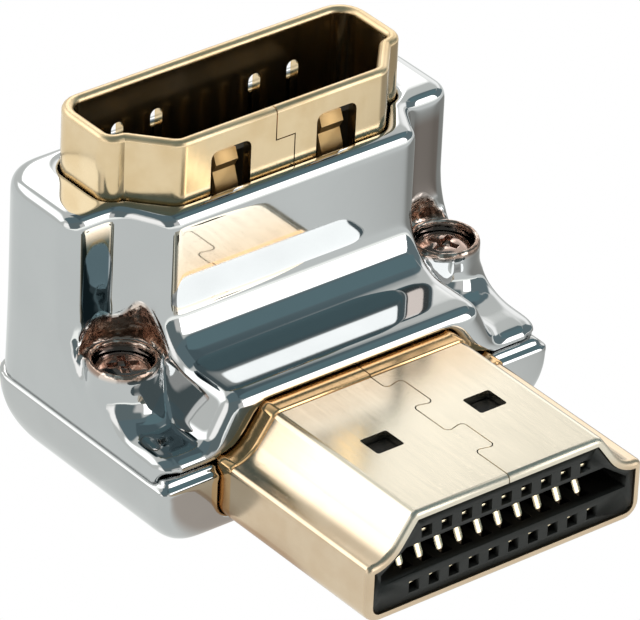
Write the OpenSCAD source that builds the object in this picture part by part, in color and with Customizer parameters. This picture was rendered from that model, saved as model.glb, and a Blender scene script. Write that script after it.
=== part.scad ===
// Right-angle adapter: a 19-way plug that points forward and a 19-way socket that points up,
// held in a two-piece plated die casting with a pair of cross-recess screws.
// X runs across the connectors, Y from the plug's open end to the back, Z up from the base.
// Inside the modules y is counted from the plug's open end, and seated() moves it to the middle.

/* [Body] */
// Length from the plug's open end to the back of the body
overall_l = 21.2; // [21:0.1:21.5]
// Width of the lower cover
body_w = 19.7; // [19.5:0.1:20.2]
// Height of the body without the socket
body_h = 12.05; // [11.8:0.05:12.4]
// Height of the parting line between the lower cover and the upper housing
parting_h = 3.05; // [2.9:0.05:3.2]
// Radius of the upper housing's upright corners at the back
back_corner_r = 2.0; // [1.6:0.1:2.4]
// Inner radius of the bend between the hood and the leg
bend_r = 1.95; // [1.6:0.05:2.3]
// Radius of the cast edges round the top of the leg
edge_r = 0.5; // [0.3:0.05:0.6]

/* [Plug] */
// Outer width of the plug shell
plug_w = 13.9; // [13.8:0.05:14]
// Outer height of the plug shell
plug_h = 4.45; // [4.4:0.05:4.55]
// Length of plug that stands out of the lower cover
plug_reach = 9.2; // [9:0.05:9.4]
// Height of the plug shell above the bottom of the base
plug_z = 0.85; // [0.8:0.05:0.9]
// Thickness of the sheet that the plug shell is folded from
sheet_t = 0.35; // [0.3:0.05:0.35]

/* [Socket] */
// Height that the socket stands above the body
socket_reach = 2.75; // [2.5:0.05:3]
// Inner width of the socket shell
socket_w = 14.0; // [13.95:0.05:14.1]
// Inner depth of the socket shell
socket_d = 4.6; // [4.55:0.05:4.65]
// Thickness of the socket shell's wall
socket_wall = 0.5; // [0.4:0.05:0.5]
// Depth of the tongue's end below the socket's rim
tongue_recess = 2.7; // [2.6:0.1:3]

/* [Contacts] */
// Distance between neighbouring contacts in a row
pitch = 1.0; // [1.0:0.01:1.02]
// Width of a contact strip
contact_w = 0.36; // [0.3:0.02:0.38]
// Thickness of a contact strip
contact_t = 0.16; // [0.12:0.02:0.18]

/* [Screws] */
// Distance of each screw's axis from the middle
screw_x = 8.15; // [8.05:0.05:8.2]
// Distance of the screws' axes from the plug's open end
screw_y = 14.2; // [14.1:0.05:14.3]
// Diameter of the screw head
head_d = 2.3; // [2.1:0.1:2.4]
// Diameter of the threaded shank
shank_d = 1.2; // [1.1:0.1:1.3]

/* [Hidden] */
$fn = 48;
eps = 0.01;
// Ten contacts stand in the long row and nine in the short one
long_row = 10;
short_row = 9;
row_count = long_row + short_row;
function contact_names(stem) = [for (i = [1 : row_count]) str(stem, "_contact_", i)];
plug_contact_names = contact_names("plug");
socket_contact_names = contact_names("socket");

// Stations of the castings along y
upper_half = body_w / 2 - 0.17;
cover_half = body_w / 2;
cover_front = plug_reach;
hood_front = plug_reach + 0.2;
lip_front = plug_reach + 0.3;
undercut_back = plug_reach + 0.85;
panel_front = 13.9;
body_back = overall_l;

// Section of the upper housing: its nose stands proud of the ears by ear_drop
ear_drop = 2.0;
nose_foot = [7.3, 0.7];
nose_edge = [6.2, 0.75];
ear_edge_r = 0.45;
leg_corner_r = 0.8;
hood_h = 6.1;
hood_roll_r = 0.7;
bend_y = panel_front - bend_r;
bend_z = hood_h + bend_r;
below_base = 1.0;

// Screw bosses, with a ring round each head and a clearance above it
boss_h = 6.3;
boss_r = 1.5;
boss_foot_r = 1.3;
head_seat = 5.5;
head_h = 0.5;
ring_bore = 2.5;
pocket_low = [1.84, 6.0];
pocket_waist = [1.74, 6.8];
pocket_high = [1.5, 8.1];
pocket_edge_r = 0.4;

// Lower cover
lip_h = 0.35;
lip_t = 0.5;
lip_gap = 0.1;
cover_front_roll = 1.0;
cover_front_corner = 0.35;
cover_side_r = 2.0;
cover_back_roll = 2.9;
cover_back_corner = 1.6;
wall = 0.9;
fit = 0.06;

// Socket shell, with its wide wall towards the back
socket_back = 19.85;
socket_front = socket_back - socket_d;
socket_rim = body_h + socket_reach;
rim_r = 0.24;
front_window = [2.0, 3.8];
front_window_x = 2.65;
front_window_z = body_h - 2.0;
front_window_r = 0.35;
slit_w = 0.6;
slit_h = 4.2;
slit_top = body_h + 1.0;
tab_w = 1.35;
tab_x = 3.45;
leg_stations = [17.0, 19.2];
tongue_w = 11.4;
tongue_t = 1.2;
tongue_back = 17.95;

// Circuit board, gripped between the plug's two rows of tails
board_z = plug_z + 1.8;
board_t = 1.0;
board_top = board_z + board_t;
board_front = 10.9;
board_back = 19.95;
board_nose_w = 10.3;
board_tail_w = 16.6;
board_step = 16.4;

// Plug shell and insulator
plug_shell_l = 13.2;
plug_roll_r = 0.24;
band_y = 8.7;
band_t = 0.1;
latch_window = [1.35, 1.2];
latch_x = 2.6;
latch_y = 4.72;
window_corner_r = 0.12;
seam_gap = 0.05;
lobe_w = 0.92;
lobe_l = 1.85;
lobe_flare = 0.12;
lobe_corner_r = 0.22;
lobe_y = [2.1, 5.95];
leg_t = 0.3;
insulator_front = 0.1;
tip_back = 0.2;
insulator_l = 9.6;
slot_z = plug_z + 1.58;
slot_h = 1.35;
slot_w = 12.4;
slot_l = 6.8;
slot_corner = [1.2, 0.5];
hole = 0.52;
hole_l = 0.45;
crest_h = 0.42;
low_row_z = plug_z + 0.99;
high_row_z = plug_z + 3.36;

// Right halves of the two D-shaped outlines, from the wide wall to the narrow one: [x, y, radius]
plug_half = [
    [plug_w / 2, 0, 0.75],
    [plug_w / 2, 2.65, 0.3],
    [plug_w / 2 - 1.0, 2.75, 1.5],
    [plug_w / 2 - 2.22, plug_h, 0.45]
];
socket_half = [
    [socket_w / 2, 0, 0.75],
    [socket_w / 2, 2.87, 0.3],
    [socket_w / 2 - 0.6, 3.0, 0.6],
    [socket_w / 2 - 2.03, socket_d, 0.35]
];

// Rounded outline through the corners [x, y, radius], each arc worked out from its two sides
function unit(v) = v / norm(v);
function arc_at(a, b, c, r, n) =
    let (
        u = unit([a[0] - b[0], a[1] - b[1]]),
        v = unit([c[0] - b[0], c[1] - b[1]]),
        half = acos(max(-1, min(1, u * v))) / 2,
        reach = r / tan(half),
        centre = [b[0], b[1]] + unit(u + v) * r / sin(half),
        from = [b[0], b[1]] + u * reach - centre,
        to = [b[0], b[1]] + v * reach - centre,
        start = atan2(from[1], from[0]),
        turn = atan2(from[0] * to[1] - from[1] * to[0], from * to)
    )
    [for (i = [0 : n]) centre + r * [cos(start + turn * i / n), sin(start + turn * i / n)]];
function rounded(p, n = 6) = [
    for (i = [0 : len(p) - 1])
        let (a = p[(i + len(p) - 1) % len(p)], b = p[i], c = p[(i + 1) % len(p)])
        each (b[2] > 0 ? arc_at(a, b, c, b[2], n) : [[b[0], b[1]]])
];
function mirrored(p) = concat(p, [for (i = [len(p) - 1 : -1 : 0]) [-p[i][0], p[i][1], p[i][2]]]);

// Corners of an anticlockwise outline moved inwards by d: outer corners tighten, inner ones widen
function inward(a, b) = let (u = unit([b[0] - a[0], b[1] - a[1]])) [-u[1], u[0]];
function inset(p, d) = [
    for (i = [0 : len(p) - 1])
        let (
            b = p[i],
            n1 = inward(p[(i + len(p) - 1) % len(p)], b),
            n2 = inward(b, p[(i + 1) % len(p)]),
            move = d * (n1 + n2) / (1 + n1 * n2),
            tighten = n1[0] * n2[1] - n1[1] * n2[0] > 0 ? d : -d
        )
        [b[0] + move[0], b[1] + move[1], b[2] > 0 ? max(0.02, b[2] - tighten) : 0]
];
function at_height(outline, z) = [for (q = outline) [q[0], q[1], z]];

// Closed skin over rings of points, all with the same count, and flat at both ends
module skin(rings) {
    count = len(rings[0]);
    last = len(rings) - 1;
    polyhedron(
        points = [for (ring = rings) each ring],
        faces = concat(
            [[for (j = [0 : count - 1]) j]],
            [
                for (k = [0 : last - 1], j = [0 : count - 1])
                    [
                        k * count + j,
                        (k + 1) * count + j,
                        (k + 1) * count + (j + 1) % count,
                        k * count + (j + 1) % count
                    ]
            ],
            [[for (j = [count - 1 : -1 : 0]) last * count + j]]
        )
    );
}

// Prism whose far end has its edge rounded to radius r
module rounded_end(corners, height, r, steps = 4) {
    skin([
        at_height(rounded(corners), 0),
        for (k = [0 : steps])
            let (a = 90 * k / steps)
            at_height(rounded(inset(corners, r * (1 - cos(a)))), height - r + r * sin(a))
    ]);
}

// Moves a sub-part from the plug's open end to the middle of the whole length
module seated() {
    translate([0, -overall_l / 2, 0]) children();
}

// Turns an outline drawn as [x, z] so that it runs along y, from y = from to y = to
module along_y(from, to) {
    translate([0, to, 0]) rotate([90, 0, 0]) linear_extrude(height = to - from) children();
}

// Turns an outline drawn as [y, z] so that it runs along x, centred on x = at
module along_x(width, at = 0) {
    translate([at - width / 2, 0, 0])
        rotate([90, 0, 90]) linear_extrude(height = width) children();
}

// D-shaped outlines of the plug and of the socket, grown outwards by the distance given
module plug_outline(grow = 0) {
    translate([0, plug_z]) polygon(rounded(inset(mirrored(plug_half), -grow)));
}
module socket_outline(grow = 0) {
    translate([0, socket_back]) mirror([0, 1])
        polygon(rounded(inset(mirrored(socket_half), -grow)));
}

// Section of the upper housing: a raised nose between two lower ears, down to the depth given
function nose_corners(depth, ear_r) = mirrored([
    [upper_half, -depth, back_corner_r],
    [upper_half, -ear_drop, ear_r],
    [nose_foot[0], -ear_drop, nose_foot[1]],
    [nose_edge[0], 0, nose_edge[1]]
]);

// Depth of the section at the angle turned round the bend, so that it ends on the back or below
function nose_depth(turn) =
    min((bend_z + below_base) / cos(turn), (body_back - bend_y) / sin(turn)) - bend_r;

// Ring of the nose section: turned round the bend's axis, moved on along the path and drawn in
function nose_ring(turn, travel = 0, draw_in = 0) =
    let (ear_r = ear_edge_r + (leg_corner_r - ear_edge_r) * turn / 90)
    [
        for (q = rounded(inset(nose_corners(nose_depth(turn), ear_r), draw_in)))
            let (reach = bend_r - q[1])
            [
                q[0],
                bend_y + reach * sin(turn) + travel * cos(turn),
                bend_z - reach * cos(turn) + travel * sin(turn)
            ]
    ];

// The nose section is swept down the leg, round the bend and out along the hood
module swept_nose() {
    heel_turn = atan2(body_back - bend_y, bend_z + below_base);
    leg_top = body_h - bend_z;
    hood_end = hood_front - bend_y;
    skin(concat(
        [
            for (a = [90 : -18 : 0])
                nose_ring(90, leg_top - edge_r * (1 - sin(a)), edge_r * (1 - cos(a)))
        ],
        [for (turn = concat([90, 81, 72, 63, 54], [heel_turn], [36, 27, 18, 9, 0])) nose_ring(turn)],
        [
            for (a = [0 : 18 : 90])
                nose_ring(0, hood_end + hood_roll_r * (1 - sin(a)), hood_roll_r * (1 - cos(a)))
        ]
    ));
}

module screw_places() {
    for (side = [-1, 1])
        translate([side * screw_x, screw_y, 0]) children();
}

// Boss that widens into the ear with a hollow fillet
module boss() {
    ear_h = hood_h - ear_drop;
    r = boss_foot_r;
    rotate_extrude() polygon([
        [0, parting_h - 1],
        [boss_r, parting_h - 1],
        [boss_r + r, ear_h - eps],
        for (a = [0 : 15 : 90]) [boss_r + r - r * sin(a), ear_h + r - r * cos(a)],
        [boss_r, boss_h - 0.1],
        [boss_r - 0.1, boss_h],
        [0, boss_h]
    ]);
}

// Round clearance above each screw, tapering upwards to a soft-edged roof
module driver_pocket() {
    r = pocket_edge_r;
    rotate_extrude() polygon([
        [0, pocket_low[1]],
        pocket_low,
        pocket_waist,
        for (a = [0 : 15 : 90])
            [pocket_high[0] - r + r * cos(a), pocket_high[1] - r + r * sin(a)],
        [0, pocket_high[1]]
    ]);
}

module upper_outside() {
    boss_clip = upper_half - 0.02;
    difference() {
        union() {
            difference() {
                swept_nose();
                screw_places() driver_pocket();
            }
            intersection() {
                screw_places() boss();
                translate([-boss_clip, 0, 0]) cube([2 * boss_clip, overall_l, body_h]);
            }
        }
        // Everything under the parting line belongs to the lower cover
        translate([-body_w, 0, -2]) cube([2 * body_w, 2 * overall_l, parting_h + 2]);
    }
}

module upper_housing() {
    color([0.82, 0.84, 0.86]) seated() difference() {
        upper_outside();
        // Undercut that the lower cover's lip stands in
        translate([-body_w, 0, 0])
            cube([2 * body_w, undercut_back, parting_h + lip_h + lip_gap]);
        // Bay of the socket, open at the top
        translate([0, 0, parting_h - 1]) linear_extrude(height = body_h)
            socket_outline(socket_wall + fit);
        // Bay of the plug, open at the front
        along_y(0, socket_back) plug_outline(band_t + fit);
        // Room for the circuit board and the rows of tails
        translate([-board_nose_w / 2 - fit, board_front - fit, parting_h - 1])
            cube([board_nose_w + 2 * fit, board_step - board_front, plug_h - 1]);
        translate([-board_tail_w / 2 - fit, board_step - fit, parting_h - 1])
            cube([board_tail_w + 2 * fit, board_back - board_step + 2 * fit, 2]);
        // Counterbore and clearance hole of each screw
        screw_places() {
            translate([0, 0, head_seat]) cylinder(d = ring_bore, h = 2);
            translate([0, 0, parting_h - 1]) cylinder(d = shank_d + 0.2, h = head_seat);
        }
    }
}

// How far a round edge of radius r still lies back, at the depth d behind its face
function set_back(d, r) = d >= r ? 0 : r - sqrt(r * r - (r - d) * (r - d));

// Section of the lower cover at the station y, with its corners [x, z, radius]
function cover_corners(y) =
    let (
        front = y - cover_front,
        back = body_back - y,
        half = cover_half - set_back(front, cover_front_corner) - set_back(back, cover_back_corner),
        bottom = set_back(front, cover_front_roll) + set_back(back, cover_back_roll)
    )
    mirrored([
        [half, bottom, min(cover_side_r, parting_h - bottom - 0.05)],
        [half, parting_h, 0]
    ]);

module cover_outside() {
    back = [for (a = [90 : -12 : 6]) body_back - cover_back_roll * (1 - sin(a))];
    front = [for (a = [0 : 15 : 90]) cover_front + cover_front_roll * (1 - sin(a))];
    stations = concat(back, [body_back - cover_back_roll], front);
    skin([for (y = stations) [for (q = rounded(cover_corners(y))) [q[0], y, q[1]]]]);
}

// Room inside the lower cover for the plug's rear, the tails and the circuit board
module tray_room() {
    half = cover_half - 1;
    front = cover_front + 1.3;
    back = body_back - 1.15;
    intersection() {
        along_y(front, back) polygon(rounded(mirrored([
            [half, wall, 1.2],
            [half, parting_h + 1, 0]
        ])));
        along_x(2 * half) polygon(rounded([
            [front - 1, wall, 0],
            [back, wall, 2.0],
            [back, parting_h + 1, 0],
            [front - 1, parting_h + 1, 0]
        ]));
    }
}

module lower_cover() {
    post_d = 2.6;
    lip_half = cover_half - 0.35;
    color([0.8, 0.82, 0.84]) seated() difference() {
        union() {
            difference() {
                cover_outside();
                // Two posts are left standing in the room and take the screws
                difference() {
                    tray_room();
                    screw_places() cylinder(d = post_d, h = 2 * parting_h);
                }
            }
            // Raised lip that locates the upper housing at the front
            translate([-lip_half, lip_front, parting_h - 0.5])
                cube([2 * lip_half, lip_t, lip_h + 0.5]);
        }
        // Notch that the plug leaves through
        along_y(0, cover_front + 4) {
            plug_outline(fit / 2);
            translate([-plug_w / 2 - fit / 2, plug_z + 2]) square([plug_w + fit, 4]);
        }
        // Threaded hole of each screw
        screw_places() translate([0, 0, wall]) cylinder(d = shank_d, h = parting_h);
    }
}

// Cross recess cut by two wings and a round middle
module cross_recess() {
    wing = [0.32, 1.3, 0.32];
    for (turn = [0, 90]) rotate([0, 0, turn])
        translate([-wing[0] / 2, -wing[1] / 2, -wing[2]]) cube([wing[0], wing[1], 1]);
    translate([0, 0, -wing[2] - 0.1]) cylinder(d = 0.6, h = 1);
}

// Pan-head screw whose head is crowned by the revolved profile
module screw() {
    head_r = head_d / 2;
    crown = 0.14;
    edge = 0.08;
    difference() {
        union() {
            translate([0, 0, head_seat]) rotate_extrude() polygon([
                [0, 0],
                [head_r, 0],
                [head_r, head_h - crown - edge],
                [head_r - edge, head_h - crown],
                [head_r * 0.6, head_h - 0.03],
                [0, head_h]
            ]);
            translate([0, 0, wall + 0.4])
                cylinder(d = shank_d, h = head_seat - wall - 0.4 + eps);
        }
        translate([0, 0, head_seat + head_h]) cross_recess();
    }
}

module placed_screw(side) {
    color([0.55, 0.53, 0.52]) seated() translate([side * screw_x, screw_y, 0])
        rotate([0, 0, side * 25]) screw();
}

// Joint line of the folded plug shell: two lobes that widen towards their ends, like dovetails
function lobe_path(y) = [
    [0, y + lobe_flare, lobe_corner_r],
    [lobe_w, y - lobe_flare, lobe_corner_r],
    [lobe_w, y + lobe_l + lobe_flare, lobe_corner_r],
    [0, y + lobe_l - lobe_flare, lobe_corner_r]
];
function seam_side(offset) =
    let (far = [[-plug_w, plug_shell_l + 1, 0], [-plug_w, -1, 0]])
    rounded(inset(
        concat(far, [[0, -1, 0]], [for (y = lobe_y) each lobe_path(y)], [[0, plug_shell_l + 1, 0]]),
        offset
    ));
module plug_seam() {
    translate([0, 0, plug_z + plug_h - sheet_t - eps]) linear_extrude(height = 1)
        difference() {
            polygon(seam_side(-seam_gap / 2));
            polygon(seam_side(seam_gap / 2));
        }
}

module plug_shell() {
    top = plug_z + plug_h;
    color([0.9, 0.78, 0.55]) seated() difference() {
        union() {
            translate([0, plug_shell_l, plug_z]) rotate([90, 0, 0])
                rounded_end(mirrored(plug_half), plug_shell_l, plug_roll_r);
            // Raised band at the rear, on the top and the shoulders only
            intersection() {
                translate([0, plug_shell_l, plug_z]) rotate([90, 0, 0])
                    rounded_end(
                        inset(mirrored(plug_half), -band_t), plug_shell_l - band_y, band_t, 2
                    );
                translate([-plug_w / 2, 0, plug_z + 2.5]) cube([plug_w, overall_l, plug_h]);
            }
        }
        along_y(-1, plug_shell_l + 1) plug_outline(-sheet_t);
        // Square windows that the socket's springs drop into
        for (x = [-latch_x, latch_x], z = [plug_z - 1, top - 1])
            translate([x, latch_y, z]) linear_extrude(height = 2)
                polygon(rounded(mirrored([
                    [latch_window[0] / 2, -latch_window[1] / 2, window_corner_r],
                    [latch_window[0] / 2, latch_window[1] / 2, window_corner_r]
                ]), 3));
        plug_seam();
    }
}

// Places its children once for each contact: the long row first, then the short row
module contact_place(i, row_y = 0) {
    in_long = i <= long_row;
    count = in_long ? long_row : short_row;
    place = in_long ? i - 1 : i - 1 - long_row;
    translate([(place - (count - 1) / 2) * pitch, row_y, 0]) children();
}

module plug_insulator() {
    half = slot_w / 2;
    channel_l = insulator_l + 1;
    bed_y = insulator_front + hole_l;
    color([0.16, 0.18, 0.17]) seated() difference() {
        along_y(insulator_front, insulator_l) plug_outline(-sheet_t - fit / 2);
        // Slot for a tongue, narrower at its upper corners
        along_y(insulator_front - 1, slot_l) translate([0, slot_z]) polygon([
            [-half, 0],
            [half, 0],
            [half, slot_corner[1]],
            [half - slot_corner[0], slot_h],
            [-half + slot_corner[0], slot_h],
            [-half, slot_corner[1]]
        ]);
        // Each contact has a front hole and a channel that opens into the slot
        for (i = [1 : row_count]) contact_place(i)
            if (i <= long_row) {
                translate([-hole / 2, 0, low_row_z - hole / 2]) cube([hole, channel_l, hole]);
                translate([-hole / 2, bed_y, low_row_z - hole / 2])
                    cube([hole, slot_l - bed_y, slot_z - low_row_z + hole]);
            } else {
                translate([-hole / 2, 0, high_row_z - hole / 2]) cube([hole, channel_l, hole]);
                translate([-hole / 2, bed_y, slot_z + slot_h - hole / 2])
                    cube([hole, slot_l - bed_y, high_row_z - slot_z - slot_h + hole]);
            }
    }
}

// Side view of one face of a sprung plug contact, from its tip behind the front hole to its tail
function sprung_side(row, crest, tail, up) = let (bed = row - hole / 2) [
    [insulator_front + tip_back, row + up],
    [0.88 - 0.4 * up, row + up],
    [1.34 - 0.4 * up, crest + up],
    [1.75, crest + up],
    [4.2, bed + up],
    [insulator_l + 0.1, bed + up],
    [board_front + 0.1, tail + up],
    [board_front + 1.9, tail + up]
];
function sprung_outline(row, crest, tail) =
    let (upper = sprung_side(row, crest, tail, contact_t))
    concat(sprung_side(row, crest, tail, 0), [for (i = [len(upper) - 1 : -1 : 0]) upper[i]]);
module plug_contact(i) {
    rise = crest_h - contact_t;
    color([0.93, 0.8, 0.5]) seated() contact_place(i)
        if (i <= long_row)
            along_x(contact_w) polygon(sprung_outline(low_row_z, slot_z + rise, board_z - contact_t));
        else
            mirror([0, 0, 1]) along_x(contact_w) polygon(sprung_outline(
                -high_row_z, rise - slot_z - slot_h, -board_top - contact_t
            ));
}

// Opening through one wall of the socket shell, with its upper corners rounded
module wall_opening(x, w, z, h, front, corner_r = 0) {
    y = front ? socket_front - 1 : socket_back - 0.5;
    translate([x, 0, z]) along_y(y, y + 1.5)
        polygon(rounded(mirrored([[w / 2, 0, 0], [w / 2, h, corner_r]]), 4));
}

// Bent spring tongue in a front window: it leans inwards, folds back and ends in a turned-in tip
module front_spring(x) {
    face = socket_front - socket_wall + 0.1;
    low = front_window_z;
    along_x(tab_w - 0.25, x) polygon([
        [face, low - 0.6],
        [face + leg_t, low - 0.6],
        [face + leg_t, low],
        [face + 0.4, low + 1.85],
        [face + 0.65, low + 2.55],
        [face + 0.45, low + 2.95],
        [face + 0.62, low + 3.35],
        [face + 0.35, low + 3.4],
        [face + 0.15, low + 2.95],
        [face + 0.37, low + 2.55],
        [face + 0.1, low + 1.85],
        [face, low]
    ]);
}

// Stepped joint line in the socket shell's front wall
module socket_seam() {
    y = socket_front - socket_wall - 1;
    through = socket_wall + 1.5;
    step_z = body_h + 1.35;
    upper_x = -0.4;
    lower_x = 0.55;
    translate([upper_x - seam_gap / 2, y, step_z]) cube([seam_gap, through, 5]);
    translate([upper_x - seam_gap / 2, y, step_z - seam_gap])
        cube([lower_x - upper_x + seam_gap, through, seam_gap]);
    translate([lower_x - seam_gap / 2, y, board_top - 1])
        cube([seam_gap, through, step_z - board_top + 1]);
}

module socket_shell() {
    rise = socket_rim - board_top;
    outer = inset(mirrored(socket_half), -socket_wall);
    color([0.9, 0.78, 0.55]) seated() {
        difference() {
            translate([0, socket_back, board_top]) mirror([0, 1, 0])
                rounded_end(outer, rise, rim_r);
            translate([0, 0, board_top - 1]) linear_extrude(height = rise + 2)
                socket_outline();
            // The rim is rolled on its inner edge too
            translate([0, socket_back, socket_rim - rim_r]) mirror([0, 1, 0])
                skin([
                    for (a = [0 : 22.5 : 90])
                        at_height(
                            rounded(inset(mirrored(socket_half), -rim_r * (1 - cos(a)))),
                            rim_r * sin(a) + (a == 90 ? eps : 0)
                        )
                ]);
            for (x = [-front_window_x, front_window_x])
                wall_opening(
                    x, front_window[0], front_window_z, front_window[1], true, front_window_r
                );
            // Slits with round tops leave two spring tabs in the back wall
            for (side = [-1, 1]) {
                for (slit = [-1, 1])
                    let (x = side * tab_x + slit * (tab_w + slit_w) / 2) {
                        wall_opening(x, slit_w, slit_top - slit_h, slit_h - slit_w / 2, false);
                        translate([x, socket_back - 0.5, slit_top - slit_w / 2])
                            rotate([-90, 0, 0]) cylinder(d = slit_w, h = 1.5);
                    }
                wall_opening(side * tab_x, tab_w + slit_w, slit_top - slit_h, 0.4, false);
            }
            socket_seam();
        }
        for (x = [-front_window_x, front_window_x]) front_spring(x);
        // Four legs pass through slots in the circuit board
        for (side = [-1, 1], y = leg_stations)
            translate([side * (socket_w + leg_t) / 2 - leg_t / 2, y - 0.45, board_z - 0.3])
                cube([leg_t, 0.9, board_t + 0.3 + eps]);
    }
}

module socket_insulator() {
    block_z = board_top + 0.3;
    block_h = 4.2;
    tongue_top = socket_rim - tongue_recess;
    bed = contact_t - 0.04;
    color([0.14, 0.14, 0.14]) seated() difference() {
        union() {
            translate([0, 0, block_z]) linear_extrude(height = block_h)
                socket_outline(-fit / 2);
            translate([-tongue_w / 2, tongue_back - tongue_t, block_z + block_h - eps])
                cube([tongue_w, tongue_t, tongue_top - block_z - block_h + eps]);
        }
        // Grooves that the contact strips lie in
        for (i = [1 : row_count])
            contact_place(i, i <= long_row ? tongue_back - bed : tongue_back - tongue_t - 1 + bed)
                translate([-contact_w / 2, 0, 0]) cube([contact_w, 1, tongue_top - 0.4]);
    }
}

// Flat contact strip on one face of the tongue, with a foot on the circuit board
module socket_contact(i) {
    back = i <= long_row;
    bed = contact_t - 0.04;
    foot = 0.9;
    top = socket_rim - tongue_recess - 0.4;
    y = back ? tongue_back - bed : tongue_back - tongue_t - contact_t + bed;
    color([0.93, 0.8, 0.5]) seated() contact_place(i, y) {
        translate([-contact_w / 2, 0, board_top]) cube([contact_w, contact_t, top - board_top]);
        translate([-contact_w / 2, back ? 0 : contact_t - foot, board_top])
            cube([contact_w, foot, contact_t]);
    }
}

module circuit_board() {
    slot = [0.5, 1.1];
    color([0.1, 0.32, 0.2]) seated() difference() {
        union() {
            translate([-board_nose_w / 2, board_front, board_z])
                cube([board_nose_w, board_back - board_front, board_t]);
            translate([-board_tail_w / 2, board_step, board_z])
                cube([board_tail_w, board_back - board_step, board_t]);
        }
        // Slots for the socket shell's legs
        for (side = [-1, 1], y = leg_stations)
            translate([side * (socket_w + leg_t) / 2 - slot[0] / 2, y - slot[1] / 2, board_z - 1])
                cube([slot[0], slot[1], board_t + 2]);
    }
}

upper_housing();
lower_cover();
placed_screw(-1);  // screw_left
placed_screw(1);  // screw_right
circuit_board();
plug_shell();
plug_insulator();
socket_shell();
socket_insulator();
for (i = [1 : row_count])
    plug_contact(i);
for (i = [1 : row_count])
    socket_contact(i);
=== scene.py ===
"""Right-angle adapter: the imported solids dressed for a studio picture.

Sizes are in millimetres and become metres where a mesh or a material needs them. X runs across the
connectors, with 0 in the middle. Y runs from the plug's open end, at -10.6, to the back, at 10.6.
Z runs up from the base. Angles are in degrees.
"""

import logging
import math
from dataclasses import dataclass
from enum import Enum

import bmesh
import bpy
from mathutils import Matrix, Vector


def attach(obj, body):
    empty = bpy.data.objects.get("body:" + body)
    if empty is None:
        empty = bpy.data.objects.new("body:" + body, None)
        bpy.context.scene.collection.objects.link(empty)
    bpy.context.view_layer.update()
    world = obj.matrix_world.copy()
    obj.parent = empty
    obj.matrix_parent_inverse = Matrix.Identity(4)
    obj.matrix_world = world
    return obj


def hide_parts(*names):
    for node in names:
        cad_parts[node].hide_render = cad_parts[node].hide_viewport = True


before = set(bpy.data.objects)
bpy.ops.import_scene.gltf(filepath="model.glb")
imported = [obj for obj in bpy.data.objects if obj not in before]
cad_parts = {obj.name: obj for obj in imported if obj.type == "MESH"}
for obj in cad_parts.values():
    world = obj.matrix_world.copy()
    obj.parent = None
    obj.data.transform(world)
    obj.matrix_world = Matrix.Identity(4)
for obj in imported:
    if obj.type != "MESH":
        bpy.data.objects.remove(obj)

LOG = logging.getLogger("adapter")
BODY = "root"
MM = 0.001  # in metres
SCREW_X, SCREW_Y = 8.15, 3.6  # axis of the right screw, which the left one mirrors
MERGE_GAP = 0.0005  # corners of the CAD triangles that are closer are one
FLAT_ANGLE = 0.3  # neighbouring triangles that turn less are one face
BROAD_FACE_WEIGHT = 60  # how far broad faces rule the shading of their edges
FLOAT, VECTOR = "NodeSocketFloat", "NodeSocketVector"

Colour = tuple[float, float, float]
Range = tuple[float, float]
Box = tuple[float, float, float, float, float, float]

WHITE: Colour = (1.0, 1.0, 1.0)


class Slot(Enum):
    """Material slots of the record."""

    UPPER_CASTING = "upper_casting"
    LOWER_CASTING = "lower_casting"
    SCREW_STEEL = "screw_steel"
    BOARD_LAMINATE = "board_laminate"
    PLUG_MOULDING = "plug_moulding"
    SOCKET_MOULDING = "socket_moulding"
    PLUG_SHEET = "plug_sheet"
    SOCKET_SHEET = "socket_sheet"
    PLUG_CONTACTS = "plug_contacts"
    SOCKET_CONTACTS = "socket_contacts"


class Made(Enum):
    """How a piece is made, which ends its name."""

    PLATED = "plated"
    TURNED = "turned"
    FOLDED = "folded"
    MOULDED = "moulded"
    STAMPED = "stamped"
    MASKED = "masked"


def direction(azimuth: float, elevation: float) -> Vector:
    """Unit vector towards a point of the studio.

    Args:
        azimuth: Degrees from the front, positive towards +X.
        elevation: Degrees above the horizon.

    Returns:
        The direction, from the object outwards.
    """
    a, e = math.radians(azimuth), math.radians(elevation)
    return Vector((math.sin(a) * math.cos(e), -math.cos(a) * math.cos(e), math.sin(e)))


def square_axes(towards: Vector, turn: float) -> tuple[Vector, Vector]:
    """Right and up of a camera or screen that lies square to a direction.

    Args:
        towards: Unit vector from the object towards it.
        turn: Degrees that it is turned about that direction.

    Returns:
        Its right and its up.
    """
    level = Vector((0, 0, 1)).cross(towards).normalized()
    upright = towards.cross(level)
    angle = math.radians(turn)
    right = math.cos(angle) * level + math.sin(angle) * upright
    up = -math.sin(angle) * level + math.cos(angle) * upright
    return right, up


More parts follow.
